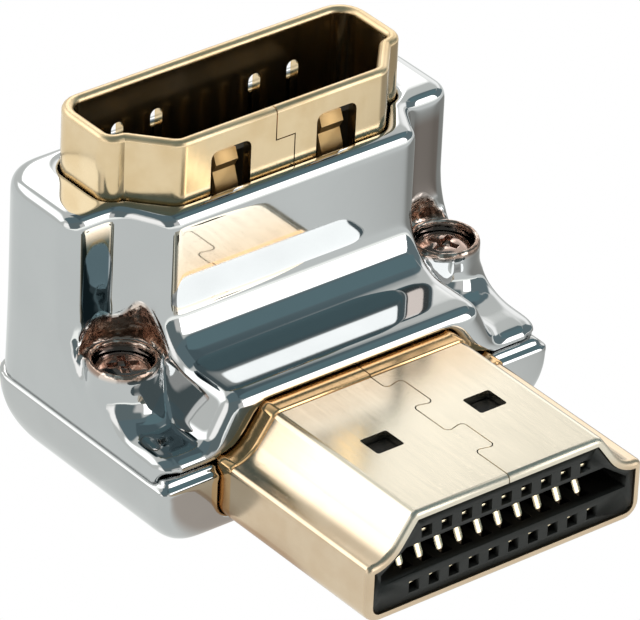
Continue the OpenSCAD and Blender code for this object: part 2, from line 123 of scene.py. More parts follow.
class Graph:
    """Short way to add and join the nodes of one node tree."""

    def __init__(self, tree: bpy.types.NodeTree) -> None:
        """Starts on the tree given."""
        self.tree = tree

    def add(self, kind: str, settings: dict | None = None, **sockets: object) -> bpy.types.Node:
        """Adds a node and sets or joins its inputs.

        Args:
            kind: Blender's name of the node type.
            settings: Values for the node's own properties.
            **sockets: Input names, with spaces as underscores, or in0, in1 for a place in the
                list. An output socket is joined, and any other value is set.

        Returns:
            The new node.
        """
        node = self.tree.nodes.new(kind)
        for key, value in (settings or {}).items():
            setattr(node, key, value)
        for key, value in sockets.items():
            by_place = key.startswith("in") and key[2:].isdigit()
            place = int(key[2:]) if by_place else key.replace("_", " ")
            self.feed(node.inputs[place], value)
        return node

    def feed(self, socket: bpy.types.NodeSocket, value: object) -> None:
        """Joins an output socket to an input, or sets a plain value on it.

        Args:
            socket: The input.
            value: An output socket, a number, a vector, or a colour without its alpha.
        """
        if isinstance(value, bpy.types.NodeSocket):
            self.tree.links.new(value, socket)
        elif isinstance(value, tuple) and len(value) == 3 and socket.type == "RGBA":
            socket.default_value = (*value, 1.0)
        else:
            socket.default_value = value

    def group(self, tree: bpy.types.NodeTree, **sockets: object) -> bpy.types.Node:
        """Places a node group."""
        return self.add("ShaderNodeGroup", {"node_tree": tree}, **sockets)

    def maths(self, operation: str, a: object, b: object = 0.0) -> bpy.types.NodeSocket:
        """One Math node's result."""
        return self.add("ShaderNodeMath", {"operation": operation}, in0=a, in1=b).outputs[0]

    def product(self, first: object, *others: object) -> bpy.types.NodeSocket:
        """Multiplies values, in order.

        Args:
            first: The first value.
            *others: The others.

        Returns:
            Their product.
        """
        for other in others:
            first = self.maths("MULTIPLY", first, other)
        return first

    def total(self, a: object, b: object) -> bpy.types.NodeSocket:
        """Two values added."""
        return self.maths("ADD", a, b)

    def line(self, value: object, factor: float, start: float) -> bpy.types.NodeSocket:
        """A value times a factor, plus a start."""
        settings = {"operation": "MULTIPLY_ADD"}
        return self.add("ShaderNodeMath", settings, in0=value, in1=factor, in2=start).outputs[0]

    def vector(self, operation: str, a: object, b: object = (0.0, 0.0, 0.0)) -> bpy.types.Node:
        """One Vector Math node."""
        return self.add("ShaderNodeVectorMath", {"operation": operation}, in0=a, in1=b)

    def parts(self, place: object) -> tuple[bpy.types.NodeSocket, ...]:
        """The X, Y and Z of a vector."""
        return tuple(self.add("ShaderNodeSeparateXYZ", in0=place).outputs)

    def place(self) -> bpy.types.NodeSocket:
        """Reads the place on the object.

        Returns:
            The place in millimetres.
        """
        where = self.add("ShaderNodeTexCoord").outputs["Object"]
        settings = {"operation": "SCALE"}
        return self.add("ShaderNodeVectorMath", settings, in0=where, Scale=1.0 / MM).outputs[0]

    def ramp(
        self, value: object, low: object, high: object, to_low: float = 0.0, to_high: float = 1.0
    ) -> bpy.types.NodeSocket:
        """A soft step between two results.

        Args:
            value: What the step follows.
            low: The value at which the step starts.
            high: The value at which it ends.
            to_low: The result up to low.
            to_high: The result from high on.

        Returns:
            The stepped result.
        """
        node = self.add(
            "ShaderNodeMapRange", {"interpolation_type": "SMOOTHSTEP"},
            in0=value, in1=low, in2=high, in3=to_low, in4=to_high,
        )
        return node.outputs[0]

    def mixed(self, factor: object, a: object, b: object) -> bpy.types.NodeSocket:
        """Mixes two colours.

        Args:
            factor: Share of the second colour.
            a: First colour.
            b: Second colour.

        Returns:
            The mixed colour.
        """
        node = self.add("ShaderNodeMix", {"data_type": "RGBA"}, in0=factor)
        self.feed(node.inputs[6], a)
        self.feed(node.inputs[7], b)
        return node.outputs[2]


def new_group(
    name: str, inputs: dict[str, tuple[str, object]], outputs: dict[str, str]
) -> tuple[bpy.types.NodeTree, Graph, bpy.types.Node, bpy.types.Node]:
    """Makes an empty shader node group with named sockets.

    Args:
        name: Name of the group.
        inputs: Socket kind and default value for each input name.
        outputs: Socket kind for each output name.

    Returns:
        The tree, a Graph on it, and its input and output nodes.
    """
    tree = bpy.data.node_groups.new(name, "ShaderNodeTree")
    for key, (kind, value) in inputs.items():
        socket = tree.interface.new_socket(name=key, in_out="INPUT", socket_type=kind)
        if value is not None:
            socket.default_value = value
    for key, kind in outputs.items():
        tree.interface.new_socket(name=key, in_out="OUTPUT", socket_type=kind)
    graph = Graph(tree)
    return tree, graph, tree.nodes.new("NodeGroupInput"), tree.nodes.new("NodeGroupOutput")


def new_material(name: str) -> tuple[bpy.types.Material, Graph, bpy.types.Node]:
    """Makes a material with nodes.

    Args:
        name: Its name.

    Returns:
        The material, a Graph on its tree and its shader.
    """
    material = bpy.data.materials.new(name)
    material.use_nodes = True
    tree = material.node_tree
    return material, Graph(tree), tree.nodes["Principled BSDF"]


class Effects:
    """Node groups that several finishes share."""

    def __init__(self) -> None:
        """Builds every group once."""
        self.ripple = self._ripple()
        self.haze = self._haze()
        self.drawn = self._drawn()
        self.grain = self._grain()

    @staticmethod
    def _ripple() -> bpy.types.NodeTree:
        """Slow unevenness of a plated casting.

        Returns:
            A group that puts out a height of about 0 to 1.
        """
        tree, g, ins, outs = new_group(
            "plating_ripple",
            {
                "Place": (VECTOR, None), "Slow": (FLOAT, 0.3), "Fine": (FLOAT, 3.0),
                "Share": (FLOAT, 0.15),
            },
            {"Height": FLOAT},
        )
        place = ins.outputs["Place"]
        slow = g.add("ShaderNodeTexNoise", Vector=place, Scale=ins.outputs["Slow"], Detail=1.0)
        fine = g.add("ShaderNodeTexNoise", Vector=place, Scale=ins.outputs["Fine"], Detail=2.0)
        part = g.product(fine.outputs[0], ins.outputs["Share"])
        g.feed(outs.inputs["Height"], g.total(slow.outputs[0], part))
        return tree

    @staticmethod
    def _haze() -> bpy.types.NodeTree:
        """Cloudy patches and fine specks.

        Returns:
            A group that puts out both as masks.
        """
        tree, g, ins, outs = new_group(
            "surface_haze",
            {"Place": (VECTOR, None), "Patch": (FLOAT, 0.4), "Speck": (FLOAT, 9.0)},
            {"Clouds": FLOAT, "Specks": FLOAT},
        )
        place = ins.outputs["Place"]
        clouds = g.add("ShaderNodeTexNoise", Vector=place, Scale=ins.outputs["Patch"], Detail=3.0)
        specks = g.add("ShaderNodeTexNoise", Vector=place, Scale=ins.outputs["Speck"], Detail=2.0)
        g.feed(outs.inputs["Clouds"], g.ramp(clouds.outputs[0], 0.35, 0.7))
        g.feed(outs.inputs["Specks"], g.ramp(specks.outputs[0], 0.62, 0.72))
        return tree

    @staticmethod
    def _drawn() -> bpy.types.NodeTree:
        """Fine lines left on rolled sheet, long in the direction that the stretch makes small.

        Returns:
            A group that puts out the lines as a value of 0 to 1.
        """
        tree, g, ins, outs = new_group(
            "drawn_lines",
            {
                "Place": (VECTOR, None), "Stretch": (VECTOR, (1.0, 1.0, 1.0)),
                "Fineness": (FLOAT, 8.0),
            },
            {"Lines": FLOAT},
        )
        place = g.vector("MULTIPLY", ins.outputs["Place"], ins.outputs["Stretch"]).outputs[0]
        lines = g.add(
            "ShaderNodeTexNoise",
            Vector=place, Scale=ins.outputs["Fineness"], Detail=4.0, Roughness=0.6,
        )
        g.feed(outs.inputs["Lines"], lines.outputs[0])
        return tree

    @staticmethod
    def _grain() -> bpy.types.NodeTree:
        """Fine pitted grain of a moulded surface.

        Returns:
            A group that puts out the pits' height and a cloudy tone.
        """
        tree, g, ins, outs = new_group(
            "mould_grain",
            {"Place": (VECTOR, None), "Fineness": (FLOAT, 10.0)},
            {"Height": FLOAT, "Tone": FLOAT},
        )
        place = ins.outputs["Place"]
        pits = g.add("ShaderNodeTexVoronoi", Vector=place, Scale=ins.outputs["Fineness"])
        tone = g.add("ShaderNodeTexNoise", Vector=place, Scale=1.3, Detail=3.0)
        g.feed(outs.inputs["Height"], pits.outputs["Distance"])
        g.feed(outs.inputs["Tone"], g.ramp(tone.outputs[0], 0.3, 0.7))
        return tree


@dataclass(frozen=True)
class Fade:
    """A soft-edged stretch along one axis.

    Attributes:
        rise: Where its mask goes from 0 to 1, or None where the stretch has no start.
        fall: Where it goes back to 0, or None where the stretch has no end.
    """

    rise: Range | None = None
    fall: Range | None = None

    def steps(self, g: Graph, value: bpy.types.NodeSocket) -> list[bpy.types.NodeSocket]:
        """Builds the stretch's soft steps.

        Args:
            g: Graph to build on.
            value: The place along the axis.

        Returns:
            The steps, whose product is the mask.
        """
        steps = [g.ramp(value, *self.rise)] if self.rise else []
        if self.fall:
            steps.append(g.ramp(value, *self.fall, 1.0, 0.0))
        return steps


@dataclass(frozen=True)
class Zone:
    """A soft-edged box on the surface, the same on the left and on the right.

    Attributes:
        side: Stretch of the distance from the middle.
        along: Stretch of Y.
        up: Stretch of Z.
    """

    side: Fade = Fade()
    along: Fade = Fade()
    up: Fade = Fade()

    def mask(self, g: Graph, place: bpy.types.NodeSocket) -> bpy.types.NodeSocket:
        """Builds the zone's mask.

        Args:
            g: Graph to build on.
            place: The place in millimetres.

        Returns:
            The mask, 1 in the zone.
        """
        x, y, z = g.parts(place)
        side = self.side.steps(g, g.maths("ABSOLUTE", x))
        return g.product(*side, *self.along.steps(g, y), *self.up.steps(g, z))


@dataclass(frozen=True)
class Patch:
    """A zone in which a finish changes.

    Attributes:
        zone: Where it is.
        tint: Its colour, or None where only the roughness changes.
        rough: Roughness that it adds.
    """

    zone: Zone
    tint: Colour | None = None
    rough: float = 0.0


@dataclass(frozen=True)
class Look:
    """What a finish gives its shader.

    Attributes:
        colour: Base colour.
        rough: Roughness.
        height: Height of the relief, as a share of its depth.
        depth: Depth of the relief.
    """

    colour: bpy.types.NodeSocket
    rough: bpy.types.NodeSocket
    height: bpy.types.NodeSocket
    depth: float


@dataclass(frozen=True, kw_only=True)
class Finish:
    """Common part of every finish.

    Attributes:
        name: Name of the material.
        metallic: 1 for metal and 0 for plastic.
        specular: Level of the plain gloss.
        patches: Places where the finish changes.
    """

    name: str
    metallic: float = 1.0
    specular: float = 0.5
    patches: tuple[Patch, ...] = ()

    def look(self, g: Graph, place: bpy.types.NodeSocket, effects: Effects) -> Look:
        """Builds the colour, roughness and relief, which each kind of finish has for itself."""
        raise NotImplementedError

    def build(self, effects: Effects) -> bpy.types.Material:
        """Makes the material.

        Args:
            effects: The shared node groups.

        Returns:
            The material.
        """
        material, g, shader = new_material(self.name)
        place = g.place()
        look = self.look(g, place, effects)
        colour, rough = look.colour, look.rough
        for patch in self.patches:
            mask = patch.zone.mask(g, place)
            if patch.tint:
                colour = g.mixed(mask, colour, patch.tint)
            if patch.rough:
                rough = g.total(rough, g.product(mask, patch.rough))
        g.feed(shader.inputs["Base Color"], colour)
        g.feed(shader.inputs["Roughness"], rough)
        bump = g.add("ShaderNodeBump", Strength=1.0, Distance=look.depth * MM, Height=look.height)
        g.feed(shader.inputs["Normal"], bump.outputs[0])
        shader.inputs["Metallic"].default_value = self.metallic
        shader.inputs["Specular IOR Level"].default_value = self.specular
        return material


@dataclass(frozen=True)
class PaintedReflections:
    """Painted brown reflection with pale painted highlights in the driver pockets, and strips of
    painted dark reflection at the foot of the S-shaped sides.

    Attributes:
        tint: Painted brown reflection in the pockets.
        pale_tint: Paler painted highlights in their blotches.
        blotch_scale: Fineness of the blotches.
        blotch_step: Noise values between which the two browns meet.
        roughness: Roughness that the brown adds.
        relief: Height of the blotches, as a multiple of the ripple.
        pocket: Reach of the brown to the side and in height.
        wall: Radius of a pocket's wall at the lower and the upper of two heights.
        wall_z: The two heights.
        wall_edge: Width of the brown's soft edge at the wall.
        strip: Where the strips of painted dark reflection are.
        left_dark_reflection: Painted dark reflection of the left strip.
        right_dark_reflection: Painted dark reflection of the right strip.
    """

    # painted brown reflection of the pockets, and paler painted highlights of their blotches
    tint: Colour = (0.36, 0.26, 0.21)
    pale_tint: Colour = (0.80, 0.68, 0.60)
    blotch_scale: float = 1.9
    blotch_step: Range = (0.50, 0.60)
    roughness: float = 0.16
    relief: float = 22.0
    pocket: Zone = Zone(side=Fade(fall=(9.65, 9.8)), up=Fade((5.9, 6.15), (7.95, 8.1)))
    wall: Range = (1.84, 1.5)
    wall_z: Range = (6.0, 8.1)
    wall_edge: float = 0.07
    strip: Zone = Zone(
        Fade((7.6, 7.75), (8.95, 9.1)), Fade((5.0, 5.15), (5.45, 5.6)),
        Fade((6.9, 7.4), (10.6, 11.4)),
    )
    # painted dark reflection of the left and the right strip
    left_dark_reflection: Colour = (0.045, 0.07, 0.08)
    right_dark_reflection: Colour = (0.34, 0.30, 0.28)

    def pocket_reflection_mask(self, g: Graph, place: bpy.types.NodeSocket) -> bpy.types.NodeSocket:
        """Masks the screw rings and the driver pockets above them, where the brown reflection is
        painted.

        Args:
            g: Graph to build on.
            place: The place in millimetres.

        Returns:
            The mask, 1 in the pockets.
        """
        x, y, z = g.parts(place)
        across = g.maths("SUBTRACT", g.maths("ABSOLUTE", x), SCREW_X)
        along = g.maths("SUBTRACT", y, SCREW_Y)
        squares = g.total(g.maths("POWER", across, 2.0), g.maths("POWER", along, 2.0))
        away = g.maths("SQRT", squares)
        low, high = self.wall_z
        near, far = self.wall
        wall = g.add("ShaderNodeMapRange", in0=z, in1=low, in2=high, in3=near, in4=far).outputs[0]
        inside = g.ramp(g.maths("SUBTRACT", away, wall), 0.0, self.wall_edge, 1.0, 0.0)
        return g.product(inside, self.pocket.mask(g, place))

    def lay(self, g: Graph, place: bpy.types.NodeSocket, clean: Look) -> Look:
        """Paints the brown reflection, its pale highlights and the dark strips into a clean look.

        Args:
            g: Graph to build on.
            place: The place in millimetres.
            clean: Look of the plating without it.

        Returns:
            The look with the painted reflections.
        """
        pocket = self.pocket_reflection_mask(g, place)
        blotch = g.add("ShaderNodeTexNoise", Vector=place, Scale=self.blotch_scale, Detail=2.0)
        blotch = blotch.outputs[0]
        # painted brown reflection, with paler painted highlights in the blotches
        brown = g.mixed(g.ramp(blotch, *self.blotch_step), self.tint, self.pale_tint)
        # painted dark reflection of the strips, from the left tone to the right one
        tone = g.mixed(g.ramp(g.parts(place)[0], -1.0, 1.0), self.left_dark_reflection, self.right_dark_reflection)
        colour = g.mixed(pocket, clean.colour, brown)
        colour = g.mixed(self.strip.mask(g, place), colour, tone)
        rough = g.total(clean.rough, g.product(pocket, self.roughness))
        height = g.total(clean.height, g.product(pocket, blotch, self.relief))
        return Look(colour, rough, height, clean.depth)


@dataclass(frozen=True, kw_only=True)
class Plated(Finish):
    """Bright plating.

    Attributes:
        tint: Colour of the clear plating.
        dull_tint: Colour under its haze.
        dull_share: Strength of the haze in the colour.
        roughness: Roughness of the clear plating.
        cloud_rough: Roughness that the haze adds.
        speck_rough: Roughness that the specks add.
        ripple: Depth of the slow unevenness.
        painted_reflections: The painted brown reflection and dark strips, or None for clean
            plating.
    """

    tint: Colour
    dull_tint: Colour
    dull_share: float = 0.6
    roughness: float = 0.03
    cloud_rough: float = 0.02
    speck_rough: float = 0.03
    ripple: float = 0.004
    # painted brown reflection in the pockets and painted dark reflection in strips
    painted_reflections: PaintedReflections | None = None

    def look(self, g: Graph, place: bpy.types.NodeSocket, effects: Effects) -> Look:
        """Builds the colour, roughness and relief.

        Args:
            g: Graph to build on.
            place: The place in millimetres.
            effects: The shared node groups.

        Returns:
            The look.
        """
        haze = g.group(effects.haze, Place=place, Patch=0.35, Speck=7.0)
        ripple = g.group(effects.ripple, Place=place, Slow=0.22, Fine=2.2, Share=0.05)
        clouds, specks = haze.outputs["Clouds"], haze.outputs["Specks"]
        colour = g.mixed(g.product(clouds, self.dull_share), self.tint, self.dull_tint)
        rough = g.line(clouds, self.cloud_rough, self.roughness)
        rough = g.total(rough, g.product(specks, self.speck_rough))
        clean = Look(colour, rough, ripple.outputs["Height"], self.ripple)
        return self.painted_reflections.lay(g, place, clean) if self.painted_reflections else clean


@dataclass(frozen=True, kw_only=True)
class Sheet(Finish):
    """Gold-coloured sheet with fine rolled lines.

    Attributes:
        tint: Colour of the sheet.
        deep_tint: Colour in its cloudy patches.
        stretch: Share of the lines' fineness along X, Y and Z, small along the lines.
        roughness: Mean roughness.
        line_rough: Roughness that the lines vary by.
        speck_rough: Roughness that the specks add.
        line_depth: Depth of the lines.
    """

    tint: Colour
    deep_tint: Colour
    stretch: tuple[float, float, float] = (1.0, 0.06, 1.0)
    roughness: float = 0.16
    line_rough: float = 0.12
    speck_rough: float = 0.08
    line_depth: float = 0.0013

    def look(self, g: Graph, place: bpy.types.NodeSocket, effects: Effects) -> Look:
        """Builds the colour, roughness and relief.

        Args:
            g: Graph to build on.
            place: The place in millimetres.
            effects: The shared node groups.

        Returns:
            The look.
        """
        haze = g.group(effects.haze, Place=place, Patch=0.6, Speck=8.0)
        drawn = g.group(effects.drawn, Place=place, Stretch=self.stretch, Fineness=6.0)
        lines = drawn.outputs["Lines"]
        colour = g.mixed(haze.outputs["Clouds"], self.tint, self.deep_tint)
        rough = g.line(lines, self.line_rough, self.roughness - self.line_rough / 2)
        rough = g.total(rough, g.product(haze.outputs["Specks"], self.speck_rough))
        return Look(colour, rough, lines, self.line_depth)


@dataclass(frozen=True, kw_only=True)
class Moulded(Finish):
    """Moulded plastic with a fine grain.

    Attributes:
        tint: Colour of the plastic.
        pale_tint: Colour in its paler clouds.
        roughness: Lowest roughness.
        tone_rough: Roughness that the paler clouds add.
        grain_depth: Depth of the grain.
    """

    tint: Colour
    pale_tint: Colour
    roughness: float = 0.5
    tone_rough: float = 0.12
    grain_depth: float = 0.004
    metallic: float = 0.0
    specular: float = 0.35

    def look(self, g: Graph, place: bpy.types.NodeSocket, effects: Effects) -> Look:
        """Builds the colour, roughness and relief.

        Args:
            g: Graph to build on.
            place: The place in millimetres.
            effects: The shared node groups.

        Returns:
            The look.
        """
        grain = g.group(effects.grain, Place=place, Fineness=9.0)
        tone = grain.outputs["Tone"]
        colour = g.mixed(tone, self.tint, self.pale_tint)
        rough = g.line(tone, self.tone_rough, self.roughness)
        return Look(colour, rough, grain.outputs["Height"], self.grain_depth)


class Finishes:
    """Every finish of the adapter, built once.

    Attributes:
        PAINTED_CROWN_SHEEN: Paler top of the plug's shell, a painted sheen where it faces up.
        PAINTED_COLLAR_REFLECTION: Its band at the collar, of a deeper gold: a painted reflection of
            the collar.
        PLUG_RIM: Its worn rim.
        PAINTED_SPRING_SHADE: Rougher spring tongues in the front of the socket's shell, with
            painted shade in their deeper tint.
        SOCKET_RIM: Worn rim of the socket's shell.
        CHANNEL_SHADE: Painted shade on the plug's contacts where they lie in their channels.
        SHADED_CHANNEL_FLOOR: The lower of those places.
        SHADED_CHANNEL_ROOF: The upper of them.
        SHADED_OPENINGS: Painted shade on the plug's insulator behind its front face.
    """

    # painted sheen: the upper part of the plug's shell paler, as bright light falls on it
    PAINTED_CROWN_SHEEN = Patch(
        Zone(along=Fade(fall=(-5.5, -1.5)), up=Fade(rise=(3.3, 4.6))), tint=(0.76, 0.70, 0.58)
    )
    # painted reflection of the collar: deeper gold band on the plug's shell next to it
    PAINTED_COLLAR_REFLECTION = Patch(Zone(along=Fade(rise=(-2.0, -1.9))), tint=(0.78, 0.50, 0.25))
    PLUG_RIM = Patch(Zone(along=Fade(fall=(-10.5, -10.35))), rough=0.2)
    # rougher spring tongues, and a deeper tint that is painted shade against their bright
    # reflection
    PAINTED_SPRING_SHADE = Patch(
        Zone(Fade((2.0, 2.1), (3.2, 3.3)), Fade(fall=(5.5, 6.0)), Fade((11.0, 12.4), (13.5, 13.7))),
        tint=(0.50, 0.33, 0.15), rough=0.25,
    )
    SOCKET_RIM = Patch(Zone(up=Fade(rise=(14.50, 14.68))), rough=0.2)
    # painted shade: near-black on the contacts deep in their channels
    CHANNEL_SHADE = (0.02, 0.015, 0.01)
    SHADED_CHANNEL_FLOOR = Patch(
        Zone(along=Fade(rise=(-9.85, -9.81)), up=Fade(fall=(2.30, 2.34))), tint=CHANNEL_SHADE
    )
    SHADED_CHANNEL_ROOF = Patch(
        Zone(along=Fade(rise=(-9.85, -9.81)), up=Fade(rise=(3.80, 3.84))), tint=CHANNEL_SHADE
    )
    # painted shade: near-black on the insulator inside the openings
    SHADED_OPENINGS = Patch(Zone(along=Fade(rise=(-10.42, -10.15))), tint=(0.004, 0.003, 0.002))

    def __init__(self, effects: Effects) -> None:
        """Builds the materials.

        Args:
            effects: The shared node groups.
        """
        # the upper casting gets painted brown reflection in its pockets and strips of painted dark
        # reflection
        self.upper = Plated(
            name="bright_plating_upper", tint=(0.515, 0.53, 0.535), dull_tint=(0.49, 0.505, 0.51),
            painted_reflections=PaintedReflections(),
        ).build(effects)
        self.lower = Plated(
            name="bright_plating_lower", tint=(0.51, 0.52, 0.52), dull_tint=(0.48, 0.49, 0.49),
        ).build(effects)
        self.plug_sheet = Sheet(
            name="gold_sheet_plug", tint=(0.70, 0.56, 0.40), deep_tint=(0.66, 0.51, 0.35),
            patches=(self.PAINTED_CROWN_SHEEN, self.PAINTED_COLLAR_REFLECTION, self.PLUG_RIM),
        ).build(effects)
        self.socket_sheet = Sheet(
            name="gold_sheet_socket", tint=(0.80, 0.63, 0.40), deep_tint=(0.74, 0.56, 0.33),
            stretch=(1.0, 1.0, 0.06), patches=(self.PAINTED_SPRING_SHADE, self.SOCKET_RIM),
        ).build(effects)
        self.plug_contact = Sheet(
            name="gold_contact_plug", tint=(0.90, 0.78, 0.55), deep_tint=(0.86, 0.72, 0.48),
            roughness=0.2, patches=(self.SHADED_CHANNEL_FLOOR, self.SHADED_CHANNEL_ROOF),
        ).build(effects)
        self.socket_contact = Sheet(
            name="gold_contact_socket", tint=(0.90, 0.78, 0.55), deep_tint=(0.86, 0.72, 0.48),
            roughness=0.2,
        ).build(effects)
        self.screw = Plated(
            name="plated_screw", tint=(0.60, 0.46, 0.40), dull_tint=(0.36, 0.25, 0.21),
            roughness=0.12,
        ).build(effects)
        self.plug_moulding = Moulded(
            name="dark_moulding_plug", tint=(0.026, 0.027, 0.024), pale_tint=(0.036, 0.037, 0.034),
            patches=(self.SHADED_OPENINGS,),
        ).build(effects)
        self.socket_moulding = Moulded(
            name="dark_moulding_socket", tint=(0.012, 0.011, 0.010), pale_tint=(0.02, 0.018, 0.016),
        ).build(effects)
        self.board = Moulded(
            name="board_mask", tint=(0.015, 0.10, 0.05), pale_tint=(0.02, 0.14, 0.07),
            roughness=0.3,
        ).build(effects)


def merged_copy(node: str, flatten: bool) -> bpy.types.Mesh:
    """Copies a CAD node's mesh and merges its loose triangles.

    Args:
        node: Name of the CAD node.
        flatten: Whether flat faces are made whole again.

    Returns:
        A new closed mesh.
    """
    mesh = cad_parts[node].data.copy()
    work = bmesh.new()
    work.from_mesh(mesh)
    bmesh.ops.remove_doubles(work, verts=work.verts, dist=MERGE_GAP * MM)
    if flatten:
        bmesh.ops.dissolve_limit(
            work, angle_limit=math.radians(FLAT_ANGLE), verts=work.verts, edges=work.edges,
            delimit=set(),
        )
    work.to_mesh(mesh)
    work.free()
    return mesh


def stand_in(
    node: str, made: Made, mesh: bpy.types.Mesh, finish: bpy.types.Material
) -> bpy.types.Object:
    """Makes the piece that stands for a CAD node.

    Args:
        node: Name of the CAD node.
        made: How the piece is made.
        mesh: The piece's mesh.
        finish: Material of the piece.

    Returns:
        The new object, which rides on the body.
    """
    piece = bpy.data.objects.new(f"{node}_{made.value}", mesh)
    bpy.context.scene.collection.objects.link(piece)
    mesh.materials.clear()
    mesh.materials.append(finish)
    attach(piece, BODY)
    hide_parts(node)
    return piece


def settle(piece: bpy.types.Object) -> None:
    """Applies a piece's modifiers to its mesh.

    Args:
        piece: The piece.
    """
    bpy.context.view_layer.update()
    depsgraph = bpy.context.evaluated_depsgraph_get()
    shaped = bpy.data.meshes.new_from_object(piece.evaluated_get(depsgraph))
    piece.modifiers.clear()
    piece.data = shaped


def even_shading(piece: bpy.types.Object, angle: float) -> None:
    """Shades a piece smoothly, with its broad faces kept flat.

    Args:
        piece: The piece.
        angle: Degrees at which an edge becomes sharp.
    """
    mesh = piece.data
    mesh.shade_smooth()
    mesh.set_sharp_from_angle(angle=math.radians(angle))
    weighted = piece.modifiers.new("broad_faces", "WEIGHTED_NORMAL")
    weighted.keep_sharp = True
    weighted.weight = BROAD_FACE_WEIGHT


@dataclass(frozen=True)
class Dressing:
    """Gives a folded, turned or moulded solid softened edges and even shading.

    Attributes:
        edge: Width of the softened edges, or 0 for none.
        steps: Faces across each of them.
        sharp_angle: Angle from which an edge is softened.
        shading_slack: Angle above that one from which an edge stays sharp to the eye.
    """

    edge: float = 0.05
    steps: int = 2
    sharp_angle: float = 28.0
    shading_slack: float = 8.0

    def piece(
        self, node: str, made: Made, slot: Slot, finish: bpy.types.Material
    ) -> bpy.types.Object:
        """Makes the dressed piece that stands for a node.

        Args:
            node: Name of the CAD node.
            made: How the piece is made.
            slot: Material slot of the record; not used.
            finish: Material of the piece.

        Returns:
            The new object.
        """
        piece = stand_in(node, made, merged_copy(node, self.edge > 0), finish)
        if self.edge > 0:
            bevel = piece.modifiers.new("soft_edges", "BEVEL")
            bevel.width = self.edge * MM
            bevel.segments = self.steps
            bevel.limit_method = "ANGLE"
            bevel.angle_limit = math.radians(self.sharp_angle)
            bevel.miter_outer = "MITER_ARC"
            settle(piece)
        even_shading(piece, self.sharp_angle + self.shading_slack)
        return piece

    def contacts(
        self, row: str, count: int, slot: Slot, finish: bpy.types.Material
    ) -> list[bpy.types.Object]:
        """Makes the stamped contacts row_1 to row_count."""
        names = [f"{row}_{i}" for i in range(1, count + 1)]
        return [self.piece(name, Made.STAMPED, slot, finish) for name in names]


@dataclass(frozen=True)
class Casting:
    """Gives a die casting the soft, flowing edges that plating leaves.

    Attributes:
        voxel: Size of the even skin's faces.
        crisp_passes: Smoothing passes over the whole skin.
        passes: Passes outside the crisp boxes, with those counted.
        soft_passes: Passes that the soft boxes get on top.
        factor: Strength of a pass.
    """

    voxel: float = 0.11
    crisp_passes: int = 3
    passes: int = 10
    soft_passes: int = 36
    factor: float = 0.5

    def piece(
        self, node: str, slot: Slot, finish: bpy.types.Material, crisp: list[Box], soft: list[Box]
    ) -> bpy.types.Object:
        """Makes the plated piece that stands for a node.

        Args:
            node: Name of the CAD node.
            slot: Material slot of the record; not used.
            finish: Material of the piece.
            crisp: Boxes in which edges stay tighter.
            soft: Boxes in which edges become broad rolls.

        Returns:
            The new object.
        """
        piece = stand_in(node, Made.PLATED, merged_copy(node, False), finish)
        remesh = piece.modifiers.new("even_skin", "REMESH")
        remesh.mode = "VOXEL"
        remesh.voxel_size = self.voxel * MM
        settle(piece)
        work = bmesh.new()
        work.from_mesh(piece.data)
        loose = [v for v in work.verts if not self.within(v.co / MM, crisp)]
        rolled = [v for v in work.verts if self.within(v.co / MM, soft)]
        rounds = [list(work.verts)] * self.crisp_passes
        rounds += [loose] * (self.passes - self.crisp_passes)
        rounds += [rolled] * self.soft_passes if rolled else []
        for verts in rounds:
            bmesh.ops.smooth_vert(
                work, verts=verts, factor=self.factor,
                use_axis_x=True, use_axis_y=True, use_axis_z=True,
            )
        work.to_mesh(piece.data)
        work.free()
        piece.data.materials.clear()
        piece.data.materials.append(finish)
        piece.data.shade_smooth()
        return piece

    @staticmethod
    def within(place: Vector, boxes: list[Box]) -> bool:
        """Whether a place lies in any of the boxes."""
        return any(all(box[k] <= place[k] <= box[k + 3] for k in range(3)) for box in boxes)


def box_pair(x: Range, y: Range, z: Range) -> list[Box]:
    """A box on the right, and the same on the left.

    Args:
        x: Its reach from the middle.
        y: Its reach in Y.
        z: Its reach in Z.

    Returns:
        The two boxes, each as its lowest and then its highest x, y and z.
    """
    return [(x[0], y[0], z[0], x[1], y[1], z[1]), (-x[1], y[0], z[0], -x[0], y[1], z[1])]


@dataclass(frozen=True)
class Housing:
    """The two plated castings and their screws.

    Attributes:
        parting_z: Heights round the parting line, where edges stay tighter.
        half_size: Half of a square that covers the castings.
        ring_reach: Reach of the boxes round the rings that hold the screw heads.
        ring_z: Heights of those boxes.
        ear_x: Reach from the middle of the ears' outer top edges, which are broad rolls.
        ear_y: Their reach in Y.
        ear_z: Their heights.
        casting: How the castings are softened.
        turned: How the screws are dressed.
    """

    parting_z: Range = (2.8, 3.25)
    half_size: float = 11.0
    ring_reach: float = 1.65
    ring_z: Range = (5.4, 6.5)
    ear_x: Range = (8.75, 11.0)
    ear_y: Range = (-3.0, 2.7)
    ear_z: Range = (3.45, 5.2)
    casting: Casting = Casting()
    turned: Dressing = Dressing(edge=0.04)

    def build(self, finishes: Finishes) -> list[bpy.types.Object]:
        """Makes the castings and screws.

        Args:
            finishes: The built finishes.

        Returns:
            The four pieces.
        """
        low, high = self.parting_z
        parting = (-self.half_size, -self.half_size, low, self.half_size, self.half_size, high)
        rings = box_pair(
            (SCREW_X - self.ring_reach, SCREW_X + self.ring_reach),
            (SCREW_Y - self.ring_reach, SCREW_Y + self.ring_reach), self.ring_z,
        )
        ears = box_pair(self.ear_x, self.ear_y, self.ear_z)
        pieces = [
            self.casting.piece(
                "upper_housing", Slot.UPPER_CASTING, finishes.upper, [parting, *rings], ears
            ),
            self.casting.piece("lower_cover", Slot.LOWER_CASTING, finishes.lower, [parting], []),
        ]
        pieces += [
            self.turned.piece(screw, Made.TURNED, Slot.SCREW_STEEL, finishes.screw)
            for screw in ("screw_left", "screw_right")
        ]
        return pieces


